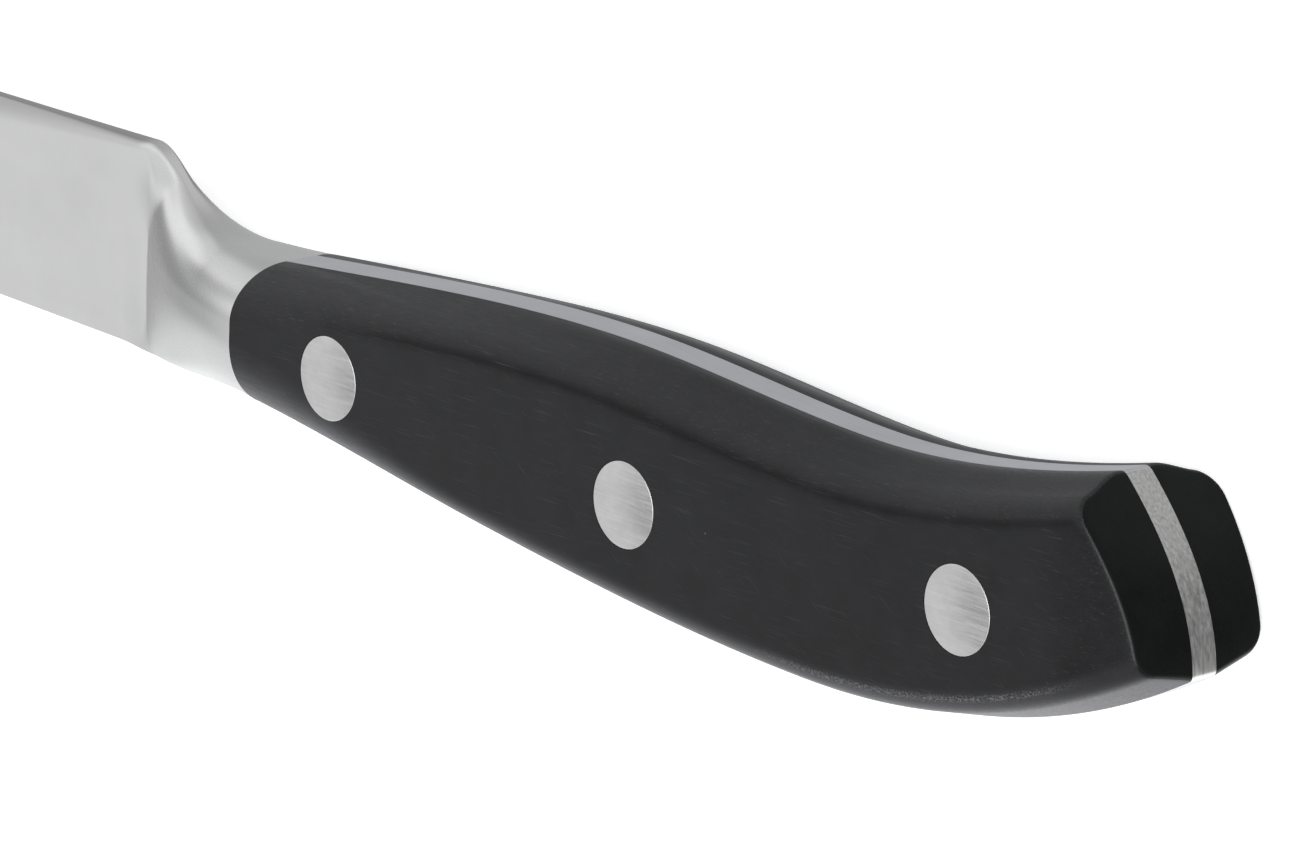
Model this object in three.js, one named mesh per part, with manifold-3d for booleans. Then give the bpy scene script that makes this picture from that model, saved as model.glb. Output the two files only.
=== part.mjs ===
// Forged full-tang steak knife: one steel forging, two grip scales and three two-part rivets.
// Millimetres, lying on its right side: the tip towards -X, the spine towards +Y and the left side up.
// The drawing has x = 0 at the back face of the bolster, y = 0 at the middle rivet and z = 0 on the mid-plane.
import * as THREE from "three";
import { mergeVertices } from "three/addons/utils/BufferGeometryUtils.js";
import Module from "manifold-3d";

const wasm = await Module();
wasm.setup();

// Blade, from the tip to the plunge line at its heel
const bladeLength = 120;
const edgeHeight = -4.7;
const edgeStraight = 70;
const tipHeight = 2.5;
const tipDepth = 0.6;
const heelHeight = 11.8;
const spineThickness = 2.1;
const tipThickness = 0.9;
const spineRounding = 0.25;
const edgeBevel = 1.2;
const edgeShoulder = 0.45;
const edgeThickness = 0.1;

// Bolster, from the plunge line to the scales
const bolsterLength = 17.2;
const heelRun = 1.0;
const shoulderRun = 4;
const shoulderHeight = 8.5;
const neckDip = 6.3;
const neckDipRun = 8.2;

// Handle
const handleLength = 95.8;
const handleWidth = 13.7;
const flareRun = 6.4;
const neckTop = 6.95;
const neckBottom = -4.5;
const palmAt = 38.5;
const palmTop = 9.85;
const waistAt = 64.2;
const waistTop = 8.8;
const bellyAt = 62.7;
const bellyBottom = -9.4;
const topBevelDegrees = 15;
const bevelCrown = 0.25;
const bottomBevelDegrees = 15;
const neckTopRounding = 4.2;
const neckBottomRounding = 5.1;
const creaseRounding = 1.6;
const bellyRounding = 2.2;
const creaseStart = 28;

// Butt, raked and slightly domed
const buttTop = 12.6;
const buttBottom = -0.2;
const buttApex = -1;
const buttRake = 7.4;
const buttDome = 0.5;
const buttTaper = 0.9;
const buttTaperRun = 9;

// Tang and the fit of the scales on it
const tangFront = 3;
const tangBack = 2.25;
const glueLine = 0.05;

// Rivets
const rivetHead = 6.4;
const rivetHeadThickness = 2.2;
const sleeveDiameter = 4.6;
const postDiameter = 3;
const rivetClearance = 0.03;
const rivetEndGap = 0.3;
const rivetFrontAt = 11.7;
const rivetFrontPitch = 33.1;
const rivetRearPitch = 34.1;
const outerRivetHeight = 1.3;

// Slopes of the outline where its curves meet
const spineTipSlope = 0.22;
const heelSlope = 0.025;
const shoulderSlope = -0.85;
const neckTopSlope = 0.105;
const buttTopSlope = 0.28;
const edgeTipSlope = -0.42;
const neckBottomSlope = -0.075;
const buttBottomSlope = 0.62;

// Mesh fineness, and how far a cut shape runs past what it cuts
const bladeSteps = 18;
const bolsterSteps = 14;
const handleSteps = 32;
const buttSteps = 12;
const arcSteps = 5;
const roundSides = 32;
const overrun = 6;

const handleHalf = handleWidth / 2;
const plungeAt = -bolsterLength;
const heelAt = plungeAt - heelRun;
const tipAt = plungeAt - bladeLength;

const { degToRad, lerp, mapLinear, smoothstep } = THREE.MathUtils;

// A height along the knife, cubic between knots of [x, height, slope]
function profile(knots) {
  const stretches = knots.slice(1).map(([x1, y1, slope1], i) => {
    const [x0, y0, slope0] = knots[i];
    const third = (x1 - x0) / 3;
    return new THREE.CubicBezierCurve(
      new THREE.Vector2(x0, y0),
      new THREE.Vector2(x0 + third, y0 + slope0 * third),
      new THREE.Vector2(x1 - third, y1 - slope1 * third),
      new THREE.Vector2(x1, y1),
    );
  });
  return (x) => {
    const { v0, v1, v2, v3 } = stretches.find((c) => x <= c.v3.x) ?? stretches.at(-1);
    const t = (x - v0.x) / (v3.x - v0.x);
    return new THREE.CubicBezierCurve(v0, v1, v2, v3).getPoint(t).y;
  };
}

const topLine = profile([
  [tipAt, tipHeight, spineTipSlope],
  [heelAt, heelHeight, heelSlope],
  [heelAt + shoulderRun, shoulderHeight, shoulderSlope],
  [-neckDipRun, neckDip, 0],
  [0, neckTop, neckTopSlope],
  [palmAt, palmTop, 0],
  [waistAt, waistTop, 0],
  [handleLength - buttRake, buttTop, buttTopSlope],
]);

const bottomLine = profile([
  [tipAt, tipHeight - tipDepth, edgeTipSlope],
  [plungeAt - edgeStraight, edgeHeight, 0],
  [plungeAt, edgeHeight, 0],
  [0, neckBottom, neckBottomSlope],
  [bellyAt, bellyBottom, 0],
  [handleLength, buttBottom, buttBottomSlope],
]);

const tangHalf = (x) => mapLinear(x, 0, handleLength, tangFront, tangBack) / 2;
const spineHalf = (x) => mapLinear(x, tipAt, plungeAt, tipThickness, spineThickness) / 2;

// Half-width behind the plunge line: it flares from a blade half-width to the parallel sides
// of the handle, and draws in at the butt.
function sideHalf(x, atPlunge) {
  const toParallel = Math.max(0, flareRun - x) / (flareRun + bolsterLength);
  const toButt = Math.max(0, x - handleLength + buttTaperRun) / buttTaperRun;
  return handleHalf - (handleHalf - atPlunge) * toParallel ** 2 - buttTaper * toButt ** 2;
}

// Points of the arc that rounds a corner, as large as its two edges allow
function roundCorner(before, corner, after, radius) {
  const back = before.clone().sub(corner);
  const ahead = after.clone().sub(corner);
  const halfAngle = Math.acos(back.dot(ahead) / (back.length() * ahead.length())) / 2;
  const room = 0.9 * Math.min(back.length(), ahead.length());
  const reach = Math.min(radius / Math.tan(halfAngle), room);
  const start = back.setLength(reach);
  const end = ahead.setLength(reach);
  const centre = start
    .clone()
    .add(end)
    .setLength(reach / Math.cos(halfAngle));
  const spoke = start.clone().sub(centre);
  const sweep = Math.PI - 2 * halfAngle;
  const turn = Math.sign(spoke.cross(end.clone().sub(centre))) * sweep;
  return Array.from({ length: arcSteps + 1 }, (_, i) => {
    const point = spoke.clone().rotateAround(new THREE.Vector2(), (turn * i) / arcSteps);
    return point.add(centre).add(corner);
  });
}

// Sizes of the blade's cross-section: a flat wedge with a ground edge
function bladeSection(x) {
  const back = spineHalf(x);
  return {
    flat: back / 2,
    back,
    waist: Math.min(edgeShoulder / 2, back / 2),
    waistRise: Math.min(edgeBevel, (topLine(x) - bottomLine(x)) / 3),
    under: edgeThickness / 2,
    topSlope: 0,
    crown: 0,
    bottomSlope: 0,
    topRounding: spineRounding,
    bottomRounding: edgeThickness / 4,
  };
}

// Sizes of the cross-section of the bolster and the handle: bevels to the back and the belly,
// with a round neck whose corners tighten to a crease along the palm
function gripSection(x) {
  const fromPlunge = smoothstep(x, plungeAt, 0);
  const toCrease = smoothstep(x, 0, creaseStart);
  const height = topLine(x) - bottomLine(x);
  const back = sideHalf(x, spineThickness / 2);
  const under = sideHalf(x, edgeThickness / 2);
  const neckShare = Math.min(1, under / sideHalf(0, edgeThickness / 2));
  return {
    flat: lerp(spineThickness / 4, tangHalf(x), fromPlunge),
    back,
    waist: sideHalf(x, edgeShoulder / 2),
    waistRise: lerp(edgeBevel, height / 2, fromPlunge),
    under,
    topSlope: Math.tan(degToRad(topBevelDegrees)) * fromPlunge,
    crown: bevelCrown * toCrease,
    bottomSlope: Math.tan(degToRad(bottomBevelDegrees)) * fromPlunge,
    topRounding: lerp(Math.max(spineRounding, neckTopRounding * neckShare), creaseRounding, toCrease),
    bottomRounding: lerp(neckBottomRounding * neckShare, bellyRounding, toCrease),
  };
}

// Half of a cross-section as (z, y) points, from the back round the side to the underside.
// The back starts at the half-thickness inner.
function halfSection(x, inner) {
  const size = x < plungeAt ? bladeSection(x) : gripSection(x);
  const top = topLine(x);
  const bottom = bottomLine(x);
  const start = inner ?? size.flat;
  const finish = inner ?? Math.min(size.flat, size.under / 2);
  const back = new THREE.Vector2(start, top);
  const crease = new THREE.Vector2(size.back, top - (size.back - size.flat) * size.topSlope);
  const bevel = back.clone().lerp(crease, 0.5);
  bevel.y += size.crown;
  const waist = new THREE.Vector2(size.waist, bottom + size.waistRise);
  const chineRise = Math.max(0, size.under - size.flat) * size.bottomSlope;
  const chine = new THREE.Vector2(size.under, bottom + chineRise);
  const keel = new THREE.Vector2(finish, bottom);
  return [
    back,
    bevel,
    ...roundCorner(bevel, crease, waist, size.topRounding),
    waist,
    ...roundCorner(waist, chine, keel, size.bottomRounding),
    keel,
  ];
}

// A closed solid through rings of points that run counter-clockwise, seen from the last ring's side
function loft(rings) {
  const count = rings[0].length;
  const points = rings.flat();
  const middle = (ring) =>
    ring.reduce((sum, p) => sum.add(p), new THREE.Vector3()).divideScalar(ring.length);
  points.push(middle(rings[0]), middle(rings.at(-1)));
  const [firstMiddle, lastMiddle] = [points.length - 2, points.length - 1];
  const lastRing = (rings.length - 1) * count;
  const triangles = [];
  for (let j = 0; j < count; j++) {
    const next = (j + 1) % count;
    triangles.push(firstMiddle, next, j);
    triangles.push(lastMiddle, lastRing + j, lastRing + next);
    for (let i = 0; i < lastRing; i += count) {
      triangles.push(i + j, i + next, i + count + j);
      triangles.push(i + next, i + count + next, i + count + j);
    }
  }
  return new THREE.BufferGeometry().setFromPoints(points).setIndex(triangles);
}

function solid(geometry) {
  geometry.deleteAttribute("normal");
  geometry.deleteAttribute("uv");
  const merged = mergeVertices(geometry);
  return new wasm.Manifold(
    new wasm.Mesh({
      numProp: 3,
      vertProperties: merged.attributes.position.array,
      triVerts: new Uint32Array(merged.index.array),
    }),
  );
}

function mesh(name, shape, material) {
  const { vertProperties, triVerts } = shape.getMesh();
  const geometry = new THREE.BufferGeometry();
  geometry.setAttribute("position", new THREE.BufferAttribute(vertProperties, 3));
  geometry.setIndex(new THREE.BufferAttribute(triVerts, 1));
  geometry.computeVertexNormals();
  const made = new THREE.Mesh(geometry, material.clone());
  made.name = name;
  return made;
}

const spread = (from, to, steps) => Array.from({ length: steps + 1 }, (_, i) => lerp(from, to, i / steps));

// Full cross-section ring of the steel at x
function steelRing(x) {
  const left = halfSection(x);
  const right = left.map((p) => new THREE.Vector2(-p.x, p.y)).reverse();
  return [...left, ...right].map((p) => new THREE.Vector3(x, p.y, p.x));
}

// The blade and the bolster up to the face that the scales butt against
function bladeAndBolster() {
  const bladeStations = spread(tipAt, plungeAt, bladeSteps).slice(0, -1);
  const bolsterStations = spread(plungeAt, 0, bolsterSteps);
  return solid(loft([...bladeStations, ...bolsterStations].map(steelRing)));
}

// The block whose far face is the raked and domed butt
function buttBlock() {
  const rise = buttTop - buttApex;
  const faceAt = (y, z) =>
    handleLength - buttRake * ((y - buttApex) / rise) ** 2 - buttDome * (z / handleHalf) ** 2;
  const low = bellyBottom - overrun;
  const high = Math.max(buttTop, palmTop) + overrun;
  const ring = (z) => [
    new THREE.Vector3(plungeAt, high, z),
    new THREE.Vector3(plungeAt, low, z),
    ...spread(low, high, 2 * buttSteps).map((y) => new THREE.Vector3(faceAt(y, z), y, z)),
  ];
  const side = handleHalf + overrun;
  return solid(loft(spread(-side, side, buttSteps).map(ring)));
}

const handleStations = (from) => spread(from, handleLength + overrun, handleSteps);

// The tang, rooted in the bolster, as long as the scales and flush with their edges
function tang(block) {
  const ring = (x, inset) => {
    const half = tangHalf(x);
    const top = topLine(x) - inset;
    const bottom = bottomLine(x) + inset;
    return [
      new THREE.Vector3(x, top, -half),
      new THREE.Vector3(x, top, half),
      new THREE.Vector3(x, bottom, half),
      new THREE.Vector3(x, bottom, -half),
    ];
  };
  const root = ring(-neckDipRun, tangFront);
  const rings = handleStations(0).map((x) => ring(x, 0));
  return solid(loft([root, ...rings])).intersect(block);
}

// A grip scale on the left or the right of the tang
function scale(side, block) {
  const ring = (x) => {
    const points = halfSection(x, tangHalf(x) + glueLine).map((p) => new THREE.Vector3(x, p.y, side * p.x));
    return side > 0 ? points : points.reverse();
  };
  return solid(loft(handleStations(glueLine).map(ring))).intersect(block);
}

// A round solid about the rivet's axis, from a (radius, z) outline that starts and ends on the axis
function turned(outline, rivet) {
  const points = outline.map(([radius, z]) => new THREE.Vector2(radius, z));
  const geometry = new THREE.LatheGeometry(points, roundSides);
  return solid(geometry.rotateX(Math.PI / 2).translate(rivet.x, rivet.y, 0));
}

const headRadius = rivetHead / 2;
const sleeveRadius = sleeveDiameter / 2;
const postRadius = postDiameter / 2;
const headSeat = handleHalf - rivetHeadThickness;

const rivets = [
  { name: "front", x: rivetFrontAt, y: outerRivetHeight },
  { name: "middle", x: rivetFrontAt + rivetFrontPitch, y: 0 },
  { name: "rear", x: rivetFrontAt + rivetFrontPitch + rivetRearPitch, y: outerRivetHeight },
];

// The hole for a rivet: the sleeve's bore with a counterbore for the head on each side
function rivetHole(rivet) {
  const bore = sleeveRadius + rivetClearance;
  const counterbore = headRadius + rivetClearance;
  const seat = headSeat - rivetClearance;
  const past = handleHalf + overrun;
  return turned(
    [
      [0, -past],
      [counterbore, -past],
      [counterbore, -seat],
      [bore, -seat],
      [bore, seat],
      [counterbore, seat],
      [counterbore, past],
      [0, past],
    ],
    rivet,
  );
}

// The female half: a head on the left and a sleeve that ends short of the other head
function rivetSleeve(rivet) {
  const bore = postRadius + rivetClearance;
  const end = -headSeat + rivetEndGap;
  return turned(
    [
      [0, headSeat],
      [bore, headSeat],
      [bore, end],
      [sleeveRadius, end],
      [sleeveRadius, headSeat],
      [headRadius, headSeat],
      [headRadius, handleHalf],
      [0, handleHalf],
    ],
    rivet,
  );
}

// The male half: a head on the right and a post that ends short of the sleeve's head
function rivetPost(rivet) {
  return turned(
    [
      [0, -handleHalf],
      [headRadius, -handleHalf],
      [headRadius, -headSeat],
      [postRadius, -headSeat],
      [postRadius, headSeat - rivetEndGap],
      [0, headSeat - rivetEndGap],
    ],
    rivet,
  );
}

const groundSteel = new THREE.MeshStandardMaterial({ color: "#c4c4c2", roughness: 0.32, metalness: 1 });
const rivetSteel = new THREE.MeshStandardMaterial({ color: "#bdbdbb", roughness: 0.4, metalness: 1 });
const blackPlastic = new THREE.MeshStandardMaterial({ color: "#1f1f20", roughness: 0.42, metalness: 0 });

const block = buttBlock();
const drilled = (shape) => rivets.reduce((left, rivet) => left.subtract(rivetHole(rivet)), shape);

const knife = new THREE.Group();
knife.add(
  mesh("forged_blade", drilled(bladeAndBolster().add(tang(block))), groundSteel),
  mesh("left_scale", drilled(scale(1, block)), blackPlastic),
  mesh("right_scale", drilled(scale(-1, block)), blackPlastic),
);
for (const rivet of rivets) {
  knife.add(
    mesh(`rivet_${rivet.name}_sleeve`, rivetSleeve(rivet), rivetSteel),
    mesh(`rivet_${rivet.name}_post`, rivetPost(rivet), rivetSteel),
  );
}

// The origin is on the table under the middle of the knife
const box = new THREE.Box3().setFromObject(knife);
const centre = box.getCenter(new THREE.Vector3());
knife.position.set(-centre.x, -centre.y, -box.min.z);

export default knife;
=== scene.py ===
"""Forged full-tang steak knife, lying on its right side on a pale floor.

One steel forging (blade, bolster and tang), two black grip scales and three two-part rivets.
Sizes are millimetres in the maker's drawing: x = 0 is the back face of the bolster with the butt towards +x,
y = 0 is the middle rivet with the spine towards +y, z = 0 is the mid-plane with the left side towards +z.
"""

import logging
import math
from collections.abc import Sequence
from dataclasses import dataclass, field
from enum import Enum

import bmesh
import bpy
import numpy as np
from bpy.types import Material, Node, NodeSocket, NodeTree, Object
from mathutils import Matrix, Vector


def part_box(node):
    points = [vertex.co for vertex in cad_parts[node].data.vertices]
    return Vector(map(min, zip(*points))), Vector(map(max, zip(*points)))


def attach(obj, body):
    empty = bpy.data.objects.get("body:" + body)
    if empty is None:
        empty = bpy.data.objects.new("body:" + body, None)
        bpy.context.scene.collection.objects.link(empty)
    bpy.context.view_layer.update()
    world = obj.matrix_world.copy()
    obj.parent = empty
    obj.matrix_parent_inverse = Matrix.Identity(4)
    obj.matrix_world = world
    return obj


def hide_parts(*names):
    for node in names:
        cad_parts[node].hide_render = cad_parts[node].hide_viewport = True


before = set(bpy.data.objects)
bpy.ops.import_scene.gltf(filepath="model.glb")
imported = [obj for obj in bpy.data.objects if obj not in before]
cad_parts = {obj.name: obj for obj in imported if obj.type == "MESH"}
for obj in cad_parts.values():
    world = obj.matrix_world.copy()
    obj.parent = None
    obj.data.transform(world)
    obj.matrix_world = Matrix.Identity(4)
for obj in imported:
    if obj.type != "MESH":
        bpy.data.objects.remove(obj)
log = logging.getLogger("steak_knife")

MM = 0.001
MERGE = 1e-4 * MM  # points closer than this are one
CROWN_PEAK = 6.75  # makes share * (1 - share) ** 2 reach 1
CORNER_ROOM = 0.9  # how much of an edge a rounded corner may take
NOISE_LOW = 0.3  # most of a noise lies between these two
NOISE_HIGH = 0.7
NOISE_ROUGHNESS = 0.6  # how strong each finer layer of a noise is beside the coarser one
FACING_BACK = 0.5  # a face of the butt has more of +x than this in its normal
BODY = "root"

# Painted on a piece's vertices, for its material to read
# painted shade, darkening the blade along its spine
PAINTED_SPINE_SHADE = "painted_spine_shade"
WORN = "worn"
# painted shade, a line with less sheen below the crease of the scales
PAINTED_CREASE_SHADE = "crease_shade"


class Side(Enum):
    """The two sides of the knife, as the sign of the drawing's z."""

    LEFT = 1
    RIGHT = -1


class SteelZone(Enum):
    """The differently ground parts of the forging, the tang's end with painted shade, by the number of their
    material slot.
    """

    BLADE = 0
    BOLSTER = 1
    TANG = 2
    TANG_END = 3


class PlasticZone(Enum):
    """The parts of a scale with their own materials, the butt's with painted shade, by the number of their
    material slot.
    """

    SIDE = 0
    BUTT = 1


class Grain(Enum):
    """Which way grinding lines run: the axis along which they are long."""

    ACROSS_BLADE = 1
    ALONG_HANDLE = 0

    def sizes(self, width: float, length: float) -> tuple[float, ...]:
        """The size of a line along x, y and z."""
        return tuple(length if axis == self.value else width for axis in range(3))


Value = float | np.ndarray


def smoothstep(x: Value, start: float, stop: float) -> Value:
    """An eased share, 0 before start and 1 after stop."""
    t = np.clip((x - start) / (stop - start), 0.0, 1.0)
    return t * t * (3.0 - 2.0 * t)


def lerp(a: Value, b: Value, share: Value) -> Value:
    """The value that lies share of the way from a to b."""
    return a + (b - a) * share


# Drawing


@dataclass(frozen=True)
class Profile:
    """A height along the knife, cubic between knots of (x, height, slope)."""

    knots: tuple[tuple[float, float, float], ...]

    def __call__(self, x: float) -> float:
        """The height at a place; past the last knot the last stretch runs on.

        Args:
            x: Place along the knife.

        Returns:
            The height in the drawing.
        """
        last = len(self.knots) - 2
        i = next((k for k in range(last) if x <= self.knots[k + 1][0]), last)
        (x0, y0, slope0), (x1, y1, slope1) = self.knots[i], self.knots[i + 1]
        run = x1 - x0
        t = (x - x0) / run
        ease = t * t * (3.0 - 2.0 * t)
        return (
            lerp(y0, y1, ease)
            + run * slope0 * t * (1.0 - t) ** 2
            - run * slope1 * t * t * (1.0 - t)
        )


@dataclass(frozen=True)
class KnifeForm:
    """The side view and the cross-sections that all the pieces share."""

    # Blade, from the tip to the plunge line at its heel
    blade_length: float = 120.0
    edge_height: float = -4.7
    edge_straight: float = 70.0
    tip_height: float = 2.5
    tip_depth: float = 0.6
    heel_height: float = 11.97
    spine_thickness: float = 2.1
    tip_thickness: float = 0.9
    spine_flat_share: float = 0.1
    heel_crown: float = 0.5
    spine_crown: float = 1.5
    crown_run: float = 22.0
    crown_limit: float = 0.45
    edge_bevel: float = 1.2
    edge_bevel_limit: float = 1.0 / 3.0
    edge_shoulder: float = 0.45
    edge_thickness: float = 0.1
    spine_fade: float = 6.0
    shoulder_crown: float = 6.5
    shoulder_crown_lead: float = 1.5
    shoulder_crown_run: float = 4.0
    heel_blend: float = 5.0
    heel_thickness: float = 1.3

    # Bolster, from the plunge line to the scales
    bolster_length: float = 17.2
    heel_run: float = 1.0
    shoulder_run: float = 4.0
    shoulder_height: float = 9.85
    neck_dip: float = 6.6
    neck_dip_run: float = 6.4
    cone_start: float = -19.25
    cone_straightness: float = 0.5
    cone_middle: float = 3.0
    cone_belly: float = 6.6
    cone_keel_share: float = 0.5
    plunge_blend: float = 0.08
    plunge_top_blend: float = 1.3
    plunge_top_heights: tuple[float, float] = (4.0, 9.0)
    plunge_bottom_blend: float = 0.35
    plunge_bottom_depths: tuple[float, float] = (1.5, 4.5)
    least_blend: float = 0.001
    flat_limit: float = 0.96  # high enough for the flat to reach the tang's corners at the scales

    # Handle
    handle_length: float = 95.8
    handle_width: float = 13.7
    neck_top: float = 6.78
    neck_bottom: float = -4.2
    palm_at: float = 38.5
    palm_top: float = 9.85
    waist_at: float = 64.2
    waist_top: float = 8.8
    belly_at: float = 62.7
    belly_bottom: float = -9.39
    bevel_degrees: float = 15.0
    bevel_crown: float = 0.25
    crown_start: float = 18.0
    neck_flat_share: float = 0.23
    neck_keel_share: float = 0.3
    neck_top_rounding: float = 4.0
    neck_bottom_rounding: float = 5.6
    crease_rounding: float = 2.4
    belly_rounding: float = 2.2
    crease_start: float = 28.0

    # Butt, raked and slightly domed
    butt_top: float = 12.6
    butt_bottom: float = -0.2
    butt_apex: float = -1.0
    butt_rake: float = 7.4
    butt_dome: float = 0.5
    butt_taper: float = 0.9
    butt_taper_run: float = 9.0
    butt_edge: float = 0.35

    # Tang and the fit of the scales on it
    tang_front: float = 3.0
    tang_back: float = 2.25
    glue_line: float = 0.05

    # Slopes of the outline where its curves meet
    spine_tip_slope: float = 0.22
    heel_slope: float = 0.025
    shoulder_slope: float = -0.85
    neck_top_slope: float = 0.105
    butt_top_slope: float = 0.28
    edge_tip_slope: float = -0.42
    neck_bottom_slope: float = -0.085
    butt_bottom_slope: float = 0.62

    # Mesh fineness
    flat_steps: int = 10
    arc_steps: int = 12
    side_steps: int = 10
    steel_steps: int = 34

    @property
    def handle_half(self) -> float:
        """Half of the handle's width."""
        return self.handle_width / 2.0

    @property
    def plunge_at(self) -> float:
        """Where the blade's flat ends and the bolster starts."""
        return -self.bolster_length

    @property
    def tip_at(self) -> float:
        """The tip's place along the knife."""
        return self.plunge_at - self.blade_length

    @property
    def top_line(self) -> Profile:
        """The spine and the handle's back.

        Returns:
            Their height, from the tip to the butt.
        """
        heel_at = self.plunge_at - self.heel_run
        return Profile(
            (
                (self.tip_at, self.tip_height, self.spine_tip_slope),
                (heel_at, self.heel_height, self.heel_slope),
                (heel_at + self.shoulder_run, self.shoulder_height, self.shoulder_slope),
                (-self.neck_dip_run, self.neck_dip, 0.0),
                (0.0, self.neck_top, self.neck_top_slope),
                (self.palm_at, self.palm_top, 0.0),
                (self.waist_at, self.waist_top, 0.0),
                (self.handle_length - self.butt_rake, self.butt_top, self.butt_top_slope),
            )
        )

    @property
    def bottom_line(self) -> Profile:
        """The edge and the handle's belly.

        Returns:
            Their height, from the tip to the butt.
        """
        return Profile(
            (
                (self.tip_at, self.tip_height - self.tip_depth, self.edge_tip_slope),
                (self.plunge_at - self.edge_straight, self.edge_height, 0.0),
                (self.plunge_at, self.edge_height, 0.0),
                (0.0, self.neck_bottom, self.neck_bottom_slope),
                (self.belly_at, self.belly_bottom, 0.0),
                (self.handle_length, self.butt_bottom, self.butt_bottom_slope),
            )
        )

    def tang_half(self, x: float) -> float:
        """Half of the tang's thickness at x."""
        return lerp(self.tang_front, self.tang_back, x / self.handle_length) / 2.0

    def spine_half(self, x: float) -> float:
        """Half of the blade's thickness at its spine at x."""
        share = (x - self.tip_at) / self.blade_length
        return lerp(self.tip_thickness, self.spine_thickness, share) / 2.0

    def handle_side(self, x: float) -> float:
        """Half-width of the handle at x: parallel sides that draw in towards the butt."""
        to_butt = max(0.0, x - self.handle_length + self.butt_taper_run) / self.butt_taper_run
        return self.handle_half - self.butt_taper * to_butt**2

    def blade_half(self, x: float, y: np.ndarray) -> np.ndarray:
        """Half-thickness of the blade: a wedge with a ground edge, a blunt heel and a round spine.

        Args:
            x: Place along the knife.
            y: Heights in the section.

        Returns:
            The half-thickness at each height.
        """
        top, bottom = self.top_line(x), self.bottom_line(x)
        heel = smoothstep(x, self.plunge_at - self.heel_blend, self.plunge_at)
        spine = self.spine_half(min(x, self.plunge_at))
        shoulder = min(lerp(self.edge_shoulder, self.heel_thickness, heel) / 2.0, spine)
        edge = lerp(self.edge_thickness, self.heel_thickness, heel) / 2.0
        rise = min(self.edge_bevel, self.edge_bevel_limit * (top - bottom))
        wedge = lerp(edge, shoulder, np.clip((y - bottom) / rise, 0.0, 1.0))
        wedge = wedge + (spine - shoulder) * np.clip((y - bottom - rise) / (top - bottom - rise), 0.0, 1.0)
        crown = lerp(self.heel_crown, self.spine_crown, smoothstep(self.plunge_at - x, 0.0, self.crown_run))
        shoulder_from = self.plunge_at - self.shoulder_crown_lead
        shoulder_to = self.plunge_at + self.shoulder_crown_run
        crown = lerp(crown, self.shoulder_crown, smoothstep(x, shoulder_from, shoulder_to))
        crown = min(crown, self.crown_limit * (top - bottom))
        return self.blade_share(x) * wedge * rounding(y, top - crown, top, self.spine_flat_share)

    def blade_share(self, x: float) -> float:
        """How much of the blade's thickness is left at x: all up to the plunge line, none in the bolster."""
        return 1.0 - smoothstep(x, self.plunge_at, self.plunge_at + self.spine_fade)

    def cone_half(self, x: float, y: np.ndarray) -> np.ndarray:
        """Half-width of the bolster: a flaring cone with a round back and a round belly.

        Args:
            x: Place along the knife.
            y: Heights in the section.

        Returns:
            The half-width at each height.
        """
        top, bottom = self.top_line(x), self.bottom_line(x)
        gone = max(0.0, 1.0 - x / self.cone_start)
        half = self.handle_half * gone * lerp(2.0 - gone, 1.0, self.cone_straightness)
        ease = smoothstep(x, self.plunge_at, 0.0)
        middle = lerp(self.cone_middle, self.neck_top - self.neck_top_rounding, ease)
        belly = bottom + lerp(self.cone_belly, self.neck_bottom_rounding, ease)
        back = rounding(y, middle, top, self.neck_flat_share * ease)
        keel_share = lerp(self.cone_keel_share, self.neck_keel_share, ease)
        return half * back * rounding(y, belly, bottom, keel_share)

    def steel_section(self, x: float) -> np.ndarray:
        """Half of the cross-section of the blade or the bolster at x.

        Args:
            x: Place along the knife, ahead of the scales.

        Returns:
            The points as rows of (x, y, z), from the back round the side to the underside.
        """
        top, bottom = self.top_line(x), self.bottom_line(x)
        middle = (top + bottom) / 2.0
        angle = np.linspace(0.0, math.pi / 2.0, self.steel_steps + 1)
        y = np.concatenate(
            [
                top - (top - middle) * (1.0 - np.cos(angle)),
                bottom + (middle - bottom) * (1.0 - np.sin(angle[1:])),
            ]
        )
        blend = self.blade_share(x) * (
            self.plunge_blend
            + self.plunge_top_blend * smoothstep(y, *self.plunge_top_heights)
            + self.plunge_bottom_blend * smoothstep(-y, *self.plunge_bottom_depths)
        )
        blend = np.maximum(blend, self.least_blend)
        blade, cone = self.blade_half(x, y), self.cone_half(x, y)
        near = np.maximum(0.0, 1.0 - np.abs(blade - cone) / blend)
        half = np.maximum(blade, cone) + near**2 * blend / 4.0
        to_tang = smoothstep(x, self.plunge_at, 0.0)
        tang = self.tang_half(0.0)
        ends = (half[0], half[-1])
        back, under = (min(lerp(end / 2.0, tang, to_tang), self.flat_limit * end) for end in ends)
        y = np.concatenate([[top], y, [bottom]])
        return np.column_stack([np.full(len(y), x), y, np.concatenate([[back], half, [under]])])

    def butt_face(self, y: float, z: float) -> float:
        """Where the butt's raked and domed face lies along the knife.

        Args:
            y: Height on the face.
            z: Distance from the mid-plane.

        Returns:
            The face's x.
        """
        rise = self.butt_top - self.butt_apex
        return (
            self.handle_length
            - self.butt_rake * ((y - self.butt_apex) / rise) ** 2
            - self.butt_dome * (z / self.handle_half) ** 2
        )

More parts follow.
